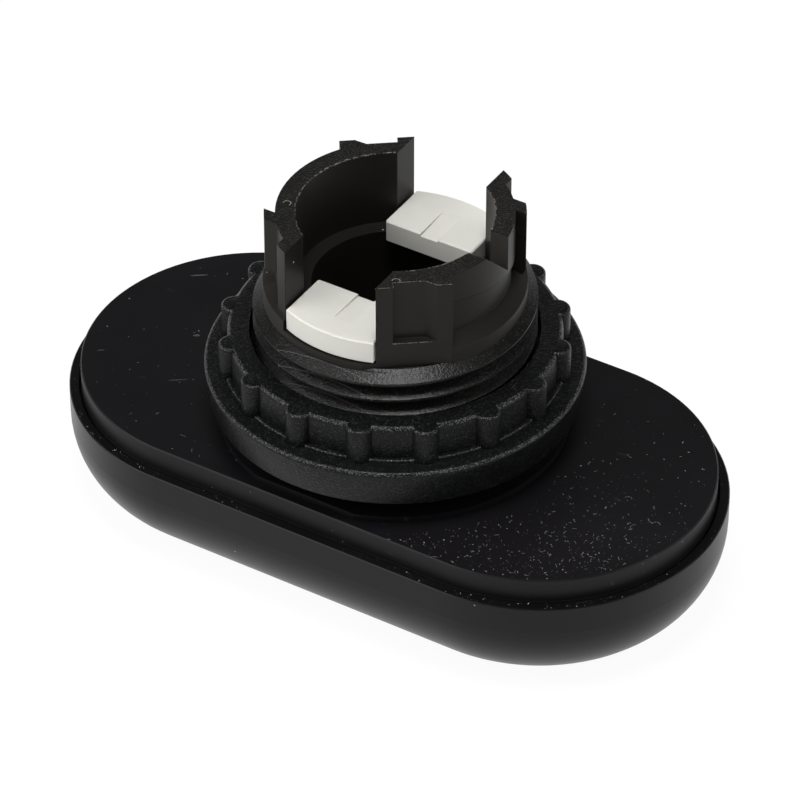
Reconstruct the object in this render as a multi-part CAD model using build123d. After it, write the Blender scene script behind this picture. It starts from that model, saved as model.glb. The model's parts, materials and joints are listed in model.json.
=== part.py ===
from build123d import *
import os
from math import cos, radians, sin, sqrt

# Double push-button head for a 22 mm panel hole, modelled rear side up, in millimetres.
# Origin: on the collar's axis, in the plane where the panel meets the gasket.
# +Z points to the rear, away from the buttons, and +X runs along the long side of the bezel.

# Bezel
bezel_width = 29.7
end_spacing = 26.0
rim_step = 0.05
rim_lip = 0.75
rim_edge = 0.08
rounding_radius = 7.1
rounding_flat = 0.7
side_wall = 1.7
front_wall = 1.6
front_rim = 0.85
button_bridge = 11.2

# Base plate of the collar body, which closes the bezel
plate_thickness = 1.4
plate_clearance = 0.2

# Panel gasket
gasket_thickness = 2.0
gasket_edge = 0.1
gasket_clearance = 0.2
gasket_boss_height = 0.5
gasket_boss_inset = 0.1
gasket_boss_flat = 0.8

# Collar
thread_diameter = 22.0
thread_depth = 0.9
collar_height = 13.0
collar_rim_step = 0.1
collar_rim_depth = 1.5
bore_step = 1.17
bore_ledge_drop = 0.35
window_floor_drop = 0.9
window_long_side = 4.27
window_short_side = 3.87

# Coupling prongs
prong_height = 6.25
prong_step = 0.95
prong_wall = 1.53
block_angle = 52.7
block_depth = 0.42
block_end = 3.42
block_foot_drop = 1.4
pocket_depth = 0.6
pocket_near_edge = 1.1
pocket_far_edge = 1.35
pocket_floor_rise = 0.95
post_width = 1.1
post_depth = 0.72
rib_depth = 0.85
rib_side = 4.95
rib_width = 1.15
rib_root_rise = 0.4
rib_rake_rise = 2.9
square_rib_rise = 1.5
notch_width = 3.3
notch_depth = 3.15
undercut_depth = 0.25
undercut_ledge_rise = 0.6
undercut_roof_rise = 3.0
undercut_fall = 0.15

# Ring nut
nut_clearance = 0.3
nut_standoff = 2.2
nut_flange_height = 3.15
nut_flange_width = 2.0
nut_flange_taper = 0.5
nut_grip_height = 3.5
nut_wall = 2.0
nut_mouth_step = 0.35
nut_relief_step = 0.25
nut_relief_depth = 2.1
nut_flange_edge = 0.5
nut_top_edge = 0.3
nut_ledge_width = 0.35
nut_ledge_height = 0.25
grip_rib_count = 16
grip_rib_radius = 0.95
first_grip_rib_angle = -69.8

# Plungers
plunger_plate = 1.85
plunger_gap = 0.15
plunger_clearance = 0.15
plunger_inner_edge = 4.5
plunger_corner = 0.25
plunger_edge = 0.1
channel_side = -0.5
channel_width = 1.55
channel_reach = 7.9
channel_depth = 0.25
channel_end_depth = 0.03
stem_width = 5.0
stem_wall = 0.55
stem_thickness = 1.3
stem_clearance = 0.25

# Buttons, behind the bezel's front wall
travel = 4.0
stop_gap = 0.3
button_recess = 0.3
button_clearance = 0.2
button_wall = 1.0
cap_edge = 0.3
boss_inset = 0.6
seal_gap = 0.05
seal_thickness = 0.65
seal_width = 1.7
flange_thickness = 0.8
flange_overlap = 0.8
slider_gap = 0.4
arm_margin = 0.4
arm_end_margin = 0.1

# Return springs
spring_radius = 2.2
spring_wire = 0.4
spring_wire_sides = 6
spring_turns = 4.0
spring_gap = 0.05
spring_room = 0.4
spring_offset = 1.0
spring_wall = 1.37
plate_cup_depth = 0.7
boss_floor = 0.5

# Centre lens
lens_corner = 1.0
lens_recess = 0.2
lens_clearance = 0.15
lens_room = 0.35
lens_slider_gap = 0.6
lens_flange = 0.9
lens_flange_thickness = 1.0
lens_seal_thickness = 0.5
lens_frame_wall = 1.0

# How far a cutting body reaches past what it cuts
cut_margin = 1.0

# Heights, from the gasket down to the front of the bezel
plate_rear = -gasket_thickness
plate_front = plate_rear - plate_thickness
rim_height = plate_rear - rim_step
flange_rear = plate_front - stop_gap - travel
flange_front = flange_rear - flange_thickness
front_inner_height = flange_front - seal_thickness - seal_gap
front_height = front_inner_height - front_wall
rounding_start = front_height + rounding_radius - rounding_flat
cap_front = front_height + button_recess
boss_front = cap_front + button_wall
lens_front = front_height + lens_recess
lens_flange_front = front_inner_height + lens_seal_thickness
lens_flange_rear = lens_flange_front + lens_flange_thickness
below_front = front_height - cut_margin

# Heights of the collar, the prongs and the nut
bore_ledge_height = collar_height - bore_ledge_drop
window_floor_height = collar_height - window_floor_drop
plunger_bottom = window_floor_height + plunger_gap
plunger_top = plunger_bottom + plunger_plate
undercut_ledge_height = collar_height + undercut_ledge_rise
undercut_roof_height = collar_height + undercut_roof_rise
prong_top = collar_height + prong_height
above_prongs = prong_top + cut_margin
nut_flange_top = nut_standoff + nut_flange_height
nut_top = nut_flange_top + nut_grip_height


def rounding_inset(height):
    """How far the bezel's rounded side has drawn in at a height."""
    drop = max(rounding_start - height, 0.0)
    return rounding_radius - sqrt(rounding_radius**2 - drop**2)


# Radii of the bezel's plan and of what lies inside it
bezel_radius = bezel_width / 2
recess_radius = bezel_radius - rim_lip
plate_radius = recess_radius - plate_clearance
upper_wall_radius = bezel_radius - side_wall
inner_wall_radius = bezel_radius - rounding_inset(front_inner_height) - side_wall / sqrt(2)
front_opening_radius = bezel_radius - rounding_inset(front_height) - front_rim
boss_radius = front_opening_radius - button_clearance - boss_inset
flange_radius = inner_wall_radius - slider_gap
beyond_bezel = end_spacing + bezel_width

# Radii about the collar's axis
thread_radius = thread_diameter / 2
core_radius = thread_radius - thread_depth
collar_rim_radius = core_radius + collar_rim_step
prong_radius = core_radius - prong_step
prong_inner_radius = prong_radius - prong_wall
bore_radius = prong_inner_radius - bore_step
block_face = prong_radius + block_depth
post_radius = prong_radius + post_depth
rib_radius = prong_radius + rib_depth
undercut_radius = prong_radius - undercut_depth
plunger_radius = core_radius - plunger_clearance
nut_bore_radius = core_radius + nut_clearance
nut_mouth_radius = thread_radius + nut_mouth_step
nut_relief_radius = thread_radius + nut_relief_step
nut_wall_radius = thread_radius + nut_wall
nut_flange_radius = nut_wall_radius + nut_flange_width

# Places across the head
stem_inner_face = bore_radius + stem_wall
stem_outer_face = stem_inner_face + stem_thickness
arm_inner_face = stem_inner_face - stem_clearance
arm_outer_face = stem_outer_face + arm_margin
half_bridge = button_bridge / 2
cap_edge_side = half_bridge + button_clearance
boss_side = cap_edge_side + boss_inset
flange_side = half_bridge - flange_overlap
lens_frame_width = 2 * (flange_side - lens_slider_gap)
lens_frame_length = 2 * (arm_inner_face - lens_room)
lens_width = lens_frame_width - 2 * lens_flange
lens_length = lens_frame_length - 2 * lens_flange
spring_along = end_spacing / 2 + spring_offset
spring_seat_radius = spring_radius + spring_room
spring_across = boss_radius - spring_seat_radius - spring_wall


def stadium(radius, low, high):
    """Upright prism on the bezel's plan, with the given end radius."""
    plan = SlotCenterToCenter(end_spacing, 2 * radius)
    return extrude(Pos(0, 0, low) * plan, high - low)


def cylinder(radius, low, high):
    """Upright cylinder about the collar's axis."""
    return extrude(Pos(0, 0, low) * Circle(radius), high - low)


def cone(low_radius, high_radius, low, high):
    """Upright cone frustum about the collar's axis."""
    standing = (Align.CENTER, Align.CENTER, Align.MIN)
    return Pos(0, 0, low) * Cone(low_radius, high_radius, high - low, align=standing)


def block(x_low, x_high, y_low, y_high, z_low, z_high):
    """Box between two corners."""
    plan = Rectangle(x_high - x_low, y_high - y_low, align=(Align.MIN, Align.MIN))
    return extrude(Pos(x_low, y_low, z_low) * plan, z_high - z_low)


def plate_block(width, length, low, high):
    """Upright prism on a rounded rectangle about the collar's axis."""
    return extrude(Pos(0, 0, low) * RectangleRounded(width, length, lens_corner), high - low)


def half_turn(piece):
    """The same piece turned half round the collar's axis."""
    return Rot(0, 0, 180) * piece


def both_ways(piece):
    """A piece together with its half-turned twin."""
    return piece + half_turn(piece)


def button_plan(radius, side, low, high):
    """D-shaped prism at the +X end, with its straight side at the bridge."""
    kept = block(side, beyond_bezel, -bezel_width, bezel_width, low, high)
    return stadium(radius, low, high) & kept


def front_bezel():
    """Stadium housing with a rounded front, button openings and a lens window."""
    shell = stadium(bezel_radius, rounding_start - rounding_radius, rim_height)
    shell = fillet(shell.faces().sort_by(Axis.Z)[0].edges(), rounding_radius)
    shell &= stadium(bezel_radius + cut_margin, front_height, rim_height)
    shell = chamfer(shell.faces().sort_by(Axis.Z)[-1].edges(), rim_edge)
    shell -= stadium(recess_radius, plate_front, rim_height)
    shell -= stadium(upper_wall_radius, rounding_start - side_wall, plate_front)
    shell -= stadium(inner_wall_radius, front_inner_height, plate_front)
    shell -= both_ways(button_plan(front_opening_radius, half_bridge, below_front, front_inner_height))
    window_width = lens_width + 2 * lens_clearance
    window_length = lens_length + 2 * lens_clearance
    return shell - plate_block(window_width, window_length, below_front, front_inner_height)


def panel_gasket():
    """Rubber plate on the rear of the bezel, with a raised ring round the collar."""
    plate = stadium(plate_radius, plate_rear, 0)
    plate = chamfer(plate.faces().sort_by(Axis.Z)[-1].edges(), gasket_edge)
    boss_radius_outside = plate_radius - gasket_boss_inset
    half_width = plate_radius - gasket_boss_flat
    boss = cylinder(boss_radius_outside, plate_rear, gasket_boss_height)
    boss &= block(-plate_radius, plate_radius, -half_width, half_width, plate_rear, gasket_boss_height)
    hole = cylinder(thread_radius + gasket_clearance, plate_rear, gasket_boss_height)
    return plate + boss - hole


def coupling_block():
    """Flat-faced block on the prong wall beside a window."""
    foot = collar_height - block_foot_drop
    middle_radius = prong_radius - prong_wall / 2
    face = block(middle_radius, block_face, -block_end, block_end, foot, prong_top)
    return Rot(0, 0, -block_angle) * face


def block_relief():
    """Flat that carries the block's face down past the collar's rim."""
    foot = collar_height - block_foot_drop
    beyond = collar_rim_radius + cut_margin
    flat = block(block_face, beyond, -block_end, block_end, foot, undercut_ledge_height)
    return Rot(0, 0, -block_angle) * flat


def coupling_pocket():
    """Pocket in the block's face, open at the top."""
    floor = collar_height + pocket_floor_rise
    back = block_face - pocket_depth
    pocket = block(back, rib_radius, -pocket_near_edge, pocket_far_edge, floor, above_prongs)
    return Rot(0, 0, -block_angle) * pocket


def window_post():
    """Post on the long side of the window at +Y."""
    far_side = window_long_side + post_width
    strip = block(window_long_side, far_side, 0, rib_radius, collar_height, prong_top)
    return strip & cylinder(post_radius, collar_height, prong_top)


def prong_rib(outer_foot_rise, root_foot_rise):
    """Upright rib that stands out of a prong, with a foot that may be raked."""
    outer_foot = collar_height + outer_foot_rise
    root_foot = collar_height + root_foot_rise
    root = prong_radius - prong_wall / 2
    outline = Polyline(
        (0, prong_top), (rib_radius, prong_top), (rib_radius, outer_foot),
        (root, root_foot), (0, root_foot), close=True,
    )
    strip = Pos(0, rib_side, 0) * extrude(Plane.XZ * make_face(outline), -rib_width)
    return strip & cylinder(rib_radius, root_foot, prong_top)


def bayonet_undercut():
    """Groove low on the +X prong, from the block to the rib, under a falling roof."""
    turn = radians(block_angle)
    start = block_end * cos(turn) - block_face * sin(turn)
    roof_start = undercut_roof_height - undercut_fall * start
    roof_end = undercut_roof_height - undercut_fall * rib_side
    outline = Polyline(
        (start, collar_height), (rib_side, collar_height),
        (rib_side, roof_end), (start, roof_start), close=True,
    )
    groove = extrude(Plane.YZ * make_face(outline), rib_radius)
    return groove - cylinder(undercut_radius, collar_height, prong_top)


def prong_notch():
    """Saw-tooth notch in the +X prong: one upright face and one slope."""
    half = notch_width / 2
    floor = prong_top - notch_depth
    slope_end = half - notch_width * (above_prongs - floor) / notch_depth
    outline = Polyline((half, floor), (half, above_prongs), (slope_end, above_prongs), close=True)
    return extrude(Plane.YZ * make_face(outline), rib_radius)


def plunger_slot():
    """Slot through the collar wall and base plate for the stem at -Y."""
    half = stem_width / 2 + stem_clearance
    outer = stem_outer_face + stem_clearance
    inner = stem_inner_face - stem_clearance
    return block(-half, half, -outer, -inner, plate_front, above_prongs)


def spring_seats(low, high):
    """Round seats for the two springs of the +X button."""
    near = Pos(spring_along, -spring_across, 0) * cylinder(spring_seat_radius, low, high)
    far = Pos(spring_along, spring_across, 0) * cylinder(spring_seat_radius, low, high)
    return near + far


def collar_body():
    """Base plate, threaded collar and coupling prongs, moulded in one piece."""
    body = stadium(plate_radius, plate_front, plate_rear)
    body += cylinder(core_radius, plate_front, collar_height)
    body += cylinder(collar_rim_radius, collar_height - collar_rim_depth, collar_height)
    body += cylinder(prong_radius, collar_height, prong_top) - both_ways(bayonet_undercut())
    body += cone(collar_rim_radius, undercut_radius, collar_height, undercut_ledge_height)
    body -= both_ways(block_relief())
    body += both_ways(coupling_block())
    body += both_ways(window_post())
    body += prong_rib(rib_rake_rise, rib_root_rise)
    body += half_turn(prong_rib(square_rib_rise, square_rib_rise))
    body += plate_block(lens_frame_width, lens_frame_length, lens_flange_rear, plate_front)
    body -= cylinder(prong_inner_radius, bore_ledge_height, above_prongs)
    body -= cylinder(bore_radius, plate_front, above_prongs)
    inner_width = lens_frame_width - 2 * lens_frame_wall
    inner_length = lens_frame_length - 2 * lens_frame_wall
    body -= plate_block(inner_width, inner_length, lens_flange_rear, plate_front)
    body -= both_ways(coupling_pocket())
    beyond = rib_radius + cut_margin
    window = block(
        -window_long_side, window_short_side, -beyond, 0, window_floor_height, above_prongs,
    )
    body -= both_ways(window)
    body -= prong_notch()
    body -= both_ways(plunger_slot())
    body -= both_ways(spring_seats(plate_front, plate_front + plate_cup_depth))
    return body


def nut_post(radius, low):
    """Round post of the nut with its top edge broken."""
    post = cylinder(radius, low, nut_top)
    return chamfer(post.edges().sort_by(Axis.Z)[-1], nut_top_edge)


def ring_nut():
    """Panel nut with a flared flange, half-round grip ribs and a bore relieved at the rear."""
    foot_radius = nut_flange_radius - nut_flange_taper
    flange = cone(foot_radius, nut_flange_radius, nut_standoff, nut_flange_top)
    flange = chamfer(flange.edges().sort_by(Axis.Z)[-1], nut_flange_edge)
    ledge_radius = nut_wall_radius + nut_ledge_width
    ledge = cylinder(ledge_radius, nut_standoff, nut_flange_top + nut_ledge_height)
    nut = flange + ledge + nut_post(nut_wall_radius, nut_standoff)
    rib = nut_post(grip_rib_radius, nut_flange_top - nut_flange_edge)
    for index in range(grip_rib_count):
        angle = first_grip_rib_angle + index * 360 / grip_rib_count
        nut += Rot(0, 0, angle) * Pos(nut_wall_radius, 0, 0) * rib
    nut -= cylinder(nut_bore_radius, nut_standoff, nut_top)
    nut -= cylinder(nut_relief_radius, nut_top - nut_relief_depth, nut_top)
    mouth_edge = nut_mouth_radius - nut_relief_radius
    nut -= cone(nut_relief_radius, nut_mouth_radius, nut_top - mouth_edge, nut_top)
    depth = nut_mouth_radius - nut_bore_radius
    return nut - cone(nut_mouth_radius, nut_bore_radius, nut_standoff, nut_standoff + depth)


def plunger():
    """Plate in the -Y window with a stem that stands on the slider's arm."""
    plate = block(
        plunger_clearance - window_long_side, window_short_side - plunger_clearance,
        -plunger_radius, -plunger_inner_edge, plunger_bottom, plunger_top,
    )
    plate &= cylinder(plunger_radius, plunger_bottom, plunger_top)
    plate = fillet(plate.edges().filter_by(Axis.Z).sort_by(Axis.Y)[-2:], plunger_corner)
    plate = chamfer(plate.faces().sort_by(Axis.Z)[-1].edges(), plunger_edge)
    half = stem_width / 2
    stem = block(-half, half, -stem_outer_face, -stem_inner_face, flange_rear, plunger_bottom)
    return plate + stem


def plunger_channel():
    """Shallow channel on top of the -Y plunger that deepens towards its inner edge."""
    above = plunger_top + cut_margin
    outline = Polyline(
        (-plunger_inner_edge, above), (-channel_reach, above),
        (-channel_reach, plunger_top - channel_end_depth),
        (-plunger_inner_edge, plunger_top - channel_depth), close=True,
    )
    return Pos(channel_side, 0, 0) * extrude(Plane.YZ * make_face(outline), channel_width)


def button_cap():
    """Flush cap of the +X button."""
    cap_radius = front_opening_radius - button_clearance
    cap = button_plan(cap_radius, cap_edge_side, cap_front, boss_front)
    return chamfer(cap.faces().sort_by(Axis.Z)[0].edges(), cap_edge)


def slider():
    """Boss, flange and arm behind the +X cap, with blind seats for its springs."""
    body = button_plan(boss_radius, boss_side, boss_front, flange_rear)
    body += button_plan(flange_radius, flange_side, flange_front, flange_rear)
    arm_end = stem_width / 2 + arm_end_margin
    body += block(-arm_end, half_bridge, -arm_outer_face, -arm_inner_face, flange_front, flange_rear)
    return body - spring_seats(boss_front + boss_floor, flange_rear)


def button_seal():
    """Rubber ring round the +X boss, between flange and front wall."""
    low = flange_front - seal_thickness
    outer = button_plan(boss_radius + seal_width, boss_side - seal_width, low, flange_front)
    return outer - button_plan(boss_radius, boss_side, low, flange_front)


def return_spring(side):
    """Coil spring between the +X slider and the base plate."""
    low = boss_front + boss_floor + spring_gap
    high = plate_front + plate_cup_depth - spring_gap
    rise = high - low - spring_wire
    path = Helix(rise / spring_turns, rise, spring_radius - spring_wire / 2)
    section = Plane(path @ 0, z_dir=path % 0) * RegularPolygon(spring_wire / 2, spring_wire_sides)
    coil = sweep(section, path, is_frenet=True)
    return Pos(spring_along, side * spring_across, low + spring_wire / 2) * coil


def centre_lens():
    """Indicator lens in the bridge between the buttons."""
    lens = plate_block(lens_width, lens_length, lens_front, lens_flange_front)
    return lens + plate_block(lens_frame_width, lens_frame_length, lens_flange_front, lens_flange_rear)


def lens_seal():
    """Rubber frame between the lens flange and the bezel."""
    outer = plate_block(lens_frame_width, lens_frame_length, front_inner_height, lens_flange_front)
    inner_width = lens_width + 2 * lens_clearance
    inner_length = lens_length + 2 * lens_clearance
    return outer - plate_block(inner_width, inner_length, front_inner_height, lens_flange_front)


def main():
    channel = plunger_channel()
    pieces = {
        "front_bezel": front_bezel(),
        "panel_gasket": panel_gasket(),
        "collar_body": collar_body(),
        "ring_nut": ring_nut(),
        "centre_lens": centre_lens(),
        "lens_seal": lens_seal(),
        "near_plunger": plunger() - channel,
        "far_plunger": half_turn(plunger()) - mirror(channel, Plane.XZ),
    }
    turned = {
        "right_button_cap": ("left_button_cap", button_cap()),
        "right_slider": ("left_slider", slider()),
        "right_button_seal": ("left_button_seal", button_seal()),
        "right_near_spring": ("left_far_spring", return_spring(-1)),
        "right_far_spring": ("left_near_spring", return_spring(1)),
    }
    for name, (twin, piece) in turned.items():
        pieces[name] = piece
        pieces[twin] = half_turn(piece)
    os.makedirs("parts", exist_ok=True)
    for name, piece in pieces.items():
        export_step(piece, f"parts/{name}.step")


main()
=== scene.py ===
import json
import math
import random

import bmesh
import bpy
from bpy.props import FloatProperty, FloatVectorProperty, IntProperty, PointerProperty
from mathutils import Matrix, Vector


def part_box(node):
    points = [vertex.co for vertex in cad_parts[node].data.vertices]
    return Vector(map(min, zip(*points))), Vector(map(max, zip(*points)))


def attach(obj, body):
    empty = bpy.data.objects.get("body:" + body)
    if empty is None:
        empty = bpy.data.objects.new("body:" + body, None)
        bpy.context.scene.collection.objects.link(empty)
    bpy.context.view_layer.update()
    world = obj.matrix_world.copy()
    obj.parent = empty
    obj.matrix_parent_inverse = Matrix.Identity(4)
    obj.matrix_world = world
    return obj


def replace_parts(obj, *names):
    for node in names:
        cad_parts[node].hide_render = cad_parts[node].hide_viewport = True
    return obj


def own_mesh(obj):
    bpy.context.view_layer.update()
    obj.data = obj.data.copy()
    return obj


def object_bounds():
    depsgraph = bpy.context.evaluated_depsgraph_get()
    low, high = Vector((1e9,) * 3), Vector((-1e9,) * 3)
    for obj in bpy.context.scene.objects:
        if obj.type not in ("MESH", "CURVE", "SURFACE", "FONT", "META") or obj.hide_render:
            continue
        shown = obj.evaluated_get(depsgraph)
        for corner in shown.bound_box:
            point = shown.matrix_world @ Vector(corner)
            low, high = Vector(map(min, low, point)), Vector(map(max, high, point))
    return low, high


bl_info = {
    "name": "Double push-button head",
    "version": (1, 0, 0),
    "blender": (4, 5, 0),
    "location": "View3D > Sidebar > Push head",
    "description": "Dresses a double push-button head that lies face down, and sets up its studio",
    "category": "Object",
}

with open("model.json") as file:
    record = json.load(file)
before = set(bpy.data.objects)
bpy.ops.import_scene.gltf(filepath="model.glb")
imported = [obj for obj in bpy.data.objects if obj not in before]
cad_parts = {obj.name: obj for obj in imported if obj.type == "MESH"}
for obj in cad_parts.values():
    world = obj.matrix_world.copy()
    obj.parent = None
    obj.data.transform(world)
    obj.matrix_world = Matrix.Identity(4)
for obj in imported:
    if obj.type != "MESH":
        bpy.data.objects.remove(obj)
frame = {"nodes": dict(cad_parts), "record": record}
cad_low, cad_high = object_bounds()
nodes = frame["nodes"]
mounts = {mount["name"]: mount for mount in frame["record"]["mounts"]}

MM = 0.001
UP = Vector((0, 0, 1))

# Meshes of the CAD nodes, before their edges are broken
MERGE_DISTANCE = 0.002 * MM
FLAT_ANGLE = math.radians(0.3)
CORNER_ANGLE = math.radians(28)

# Faces of the collar that are rough: the prongs' tops and the notch's upright face, above its foot. The
# notch face is also painted lighter, as painted light
ROUGH_FACE_DEPTH = 0.04 * MM
notch_side = 1.65 * MM
notch_foot = 11.0 * MM

# Mould flash on the prongs' edges, painted pale as a highlight along them
FLASH_WIDTH = 0.1 * MM
FLASH_HIGHLIGHT_PALENESS = 13
prong_inner_radius = 7.62 * MM

# Upward lean of the normals on rounded edges that get a painted highlight, and how far they may lie from it
HIGHLIGHT_SLOPE = 0.68
HIGHLIGHT_REACH = 0.26

# Parting line on the thread, painted pale as a highlight
SEAM_WIDTH = 0.05 * MM

# Places along the gasket between which the painted dust thickens
DUST_THIN_END = -30 * MM
DUST_THICK_END = 20 * MM

# How far specks of painted dust are pulled out of round
SPECK_BEND = 0.3 * MM

# Bits of lint that lie on the prongs' tops, half the thickness of their hairs and how well they show
LINT_HALF_WIDTH = 0.03 * MM
LINT_STRENGTH = 0.35
PRONG_LINT = ((-7.55 * MM, -3.46 * MM, 0.0), (4.7 * MM, -7.5 * MM, 0.0))

# Flat-faced blocks of the prongs, in their own directions: out of the prong and along the face
block_turn = math.radians(-52.7)
block_face = 9.57 * MM
block_end = 3.42 * MM
pocket_back = 8.97 * MM
pocket_near_edge = -1.1 * MM
pocket_far_edge = 1.35 * MM
pocket_splay = 0.87 * MM

# How far a vertex may lie from the pocket's corner that it belongs to
CORNER_REACH = 0.04 * MM

# Where things are, from the frame
thread_radius = mounts["panel_hole"]["dims"]["r_mm"] * MM
gasket_height = mounts["panel_face"]["pos_m"][2]
gasket_low, gasket_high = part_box("panel_gasket")
nut_low, nut_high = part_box("ring_nut")
prong_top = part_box("collar_body")[1].z
rim_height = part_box("front_bezel")[1].z
nut_radius = (nut_high.x - nut_low.x) / 2
gasket_radius = (gasket_high.y - gasket_low.y) / 2
end_centre = gasket_high.x - gasket_radius


class HeadSizes(bpy.types.PropertyGroup):
    """Sizes of what is added to the head."""

    thread_depth: FloatProperty(
        name="Thread depth", description="Height of the thread above its core",
        default=0.9 * MM, unit="LENGTH",
    )
    thread_pitch: FloatProperty(
        name="Thread pitch", description="Rise of the thread in one turn",
        default=1.5 * MM, unit="LENGTH",
    )
    thread_crest: FloatProperty(
        name="Thread crest", description="Width of the flat on the thread's crest",
        default=0.17 * MM, unit="LENGTH",
    )
    thread_start: FloatProperty(
        name="Thread start", description="Height of the thread's middle where it leaves the nut",
        default=7.33 * MM, unit="LENGTH",
    )
    thread_start_angle: FloatProperty(
        name="Thread start angle", description="Direction in which the thread starts",
        default=math.radians(-230), subtype="ANGLE",
    )
    thread_turns: FloatProperty(
        name="Thread turns", description="Turns of thread from the nut up", default=2.96,
    )
    thread_seam: FloatProperty(
        name="Thread seam", description="Distance of the thread's two parting lines from the collar's axis",
        default=10.17 * MM, unit="LENGTH",
    )
    collar_edge: FloatProperty(
        name="Collar edge", description="Break on the collar's edges", default=0.1 * MM, unit="LENGTH",
    )
    nut_edge: FloatProperty(
        name="Nut edge", description="Rounding of the nut's outer edges", default=0.44 * MM, unit="LENGTH",
    )
    plunger_edge: FloatProperty(
        name="Plunger edge", description="Break on the plungers' edges", default=0.12 * MM, unit="LENGTH",
    )
    button_edge: FloatProperty(
        name="Button edge", description="Break on the caps' and the lens's edges",
        default=0.1 * MM, unit="LENGTH",
    )
    fibre_thickness: FloatProperty(
        name="Fibre thickness", description="Thickness of a dust fibre", default=0.014 * MM, unit="LENGTH",
    )
    fibre_count: IntProperty(
        name="Fibres", description="Dust fibres on the gasket", default=110, min=0,
    )
    fleck_count: IntProperty(
        name="Flecks", description="Dust flecks on the gasket", default=620, min=0,
    )
    rim_fleck_count: IntProperty(
        name="Rim flecks", description="Dust flecks on the bezel's rim", default=170, min=0,
    )


class HeadColours(bpy.types.PropertyGroup):
    """Colours of the head's materials, linear."""

    bezel: FloatVectorProperty(
        name="Bezel", description="Moulded bezel", subtype="COLOR", default=(0.0034, 0.0034, 0.0034),
    )
    gasket: FloatVectorProperty(
        name="Gasket", description="Rubber of the gasket", subtype="COLOR",
        default=(0.006, 0.0053, 0.0064),
    )
    collar: FloatVectorProperty(
        name="Collar", description="Moulded collar", subtype="COLOR", default=(0.0145, 0.0131, 0.0113),
    )
    nut: FloatVectorProperty(
        name="Nut", description="Textured nut", subtype="COLOR", default=(0.0034, 0.0038, 0.0038),
    )
    plunger: FloatVectorProperty(
        name="Plunger", description="Off-white plungers", subtype="COLOR", default=(0.76, 0.75, 0.695),
    )
    green_cap: FloatVectorProperty(
        name="Green cap", description="Cap of the right button", subtype="COLOR",
        default=(0.02, 0.24, 0.09),
    )
    red_cap: FloatVectorProperty(
        name="Red cap", description="Cap of the left button", subtype="COLOR",
        default=(0.42, 0.03, 0.025),
    )
    slider: FloatVectorProperty(
        name="Slider", description="Mouldings behind the caps", subtype="COLOR", default=(0.03, 0.03, 0.03),
    )
    seal: FloatVectorProperty(
        name="Seal", description="Rubber rings in the front", subtype="COLOR",
        default=(0.012, 0.012, 0.012),
    )
    lens: FloatVectorProperty(
        name="Lens", description="Lens between the buttons", subtype="COLOR", default=(0.8, 0.8, 0.77),
    )
    steel: FloatVectorProperty(
        name="Steel", description="Drawn spring wire", subtype="COLOR", default=(0.55, 0.55, 0.56),
    )
    # Colour of the painted glints on the eroded plastic
    glint: FloatVectorProperty(
        name="Glint", description="Lit grains of the eroded plastic", subtype="COLOR",
        default=(0.045, 0.046, 0.045),
    )
    dust: FloatVectorProperty(
        name="Dust", description="Dust and lint", subtype="COLOR", default=(0.6, 0.59, 0.565),
    )


class HeadStudio(bpy.types.PropertyGroup):
    """Camera, lamps and floor."""

    azimuth: FloatProperty(
        name="Azimuth", description="Direction of the camera round the head",
        default=math.radians(31.675), subtype="ANGLE",
    )
    elevation: FloatProperty(
        name="Elevation", description="Height of the camera above the horizon",
        default=math.radians(38.381), subtype="ANGLE",
    )
    distance: FloatProperty(
        name="Distance", description="From the camera to the head's origin", default=0.4, unit="LENGTH",
    )
    lens: FloatProperty(
        name="Lens", description="Focal length on a 36 mm sensor, in millimetres",
        default=229.97, unit="CAMERA",
    )
    shift_x: FloatProperty(
        name="Shift X", description="Sideways shift of the frame", default=0.0059,
    )
    shift_y: FloatProperty(
        name="Shift Y", description="Upward shift of the frame", default=0.0121,
    )
    key_power: FloatProperty(
        name="Key", description="Power of the lamp at the left, in watts", default=2.35, unit="POWER",
    )
    fill_power: FloatProperty(
        name="Fill", description="Power of the lamp at the right, in watts", default=0.9, unit="POWER",
    )
    top_power: FloatProperty(
        name="Top", description="Power of the lamp overhead, in watts", default=2.0, unit="POWER",
    )
    ceiling: FloatProperty(
        name="Ceiling", description="Brightness of the room above the backdrop", default=0.08,
    )
    floor_shade: FloatProperty(
        name="Floor shade", description="How strongly the floor takes the head's shadow",
        default=0.09, min=0, max=1,
    )


def sizes():
    """The sizes that the panel holds."""
    return bpy.context.scene.head_sizes


def colours():
    """The colours that the panel holds."""
    return bpy.context.scene.head_colours


def studio():
    """The studio's values that the panel holds."""
    return bpy.context.scene.head_studio


def direction(azimuth, elevation):
    """Unit vector from the head towards a lamp or the camera."""
    level = math.cos(elevation)
    return Vector((math.sin(azimuth) * level, -math.cos(azimuth) * level, math.sin(elevation)))


def add_node(tree, kind, inputs=None, **settings):
    """A new node. An input that is given as a socket is linked, any other is set."""
    node = tree.nodes.new(kind)
    for name, value in settings.items():
        setattr(node, name, value)
    for name, value in (inputs or {}).items():
        if isinstance(value, bpy.types.NodeSocket):
            tree.links.new(value, node.inputs[name])
        else:
            node.inputs[name].default_value = value
    return node


def math_node(tree, operation, first, second=0.0):
    """Output of a maths node on two values or sockets."""
    return add_node(tree, "ShaderNodeMath", {0: first, 1: second}, operation=operation).outputs[0]


def spread(tree, value, low, high):
    """A value from 0 to 1, mapped to a range."""
    inputs = {"Value": value, "To Min": low, "To Max": high}
    return add_node(tree, "ShaderNodeMapRange", inputs).outputs["Result"]


def mix_colour(tree, factor, first, second):
    """Output of a colour mix."""
    node = add_node(tree, "ShaderNodeMix", data_type="RGBA")
    for index, value in ((0, factor), (6, first), (7, second)):
        if isinstance(value, bpy.types.NodeSocket):
            tree.links.new(value, node.inputs[index])
        elif index == 0:
            node.inputs[index].default_value = value
        else:
            node.inputs[index].default_value = (*value, 1.0)
    return node.outputs[2]


def shaded(colour, factor):
    """A colour made lighter or darker."""
    return tuple(channel * factor for channel in colour)


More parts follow.
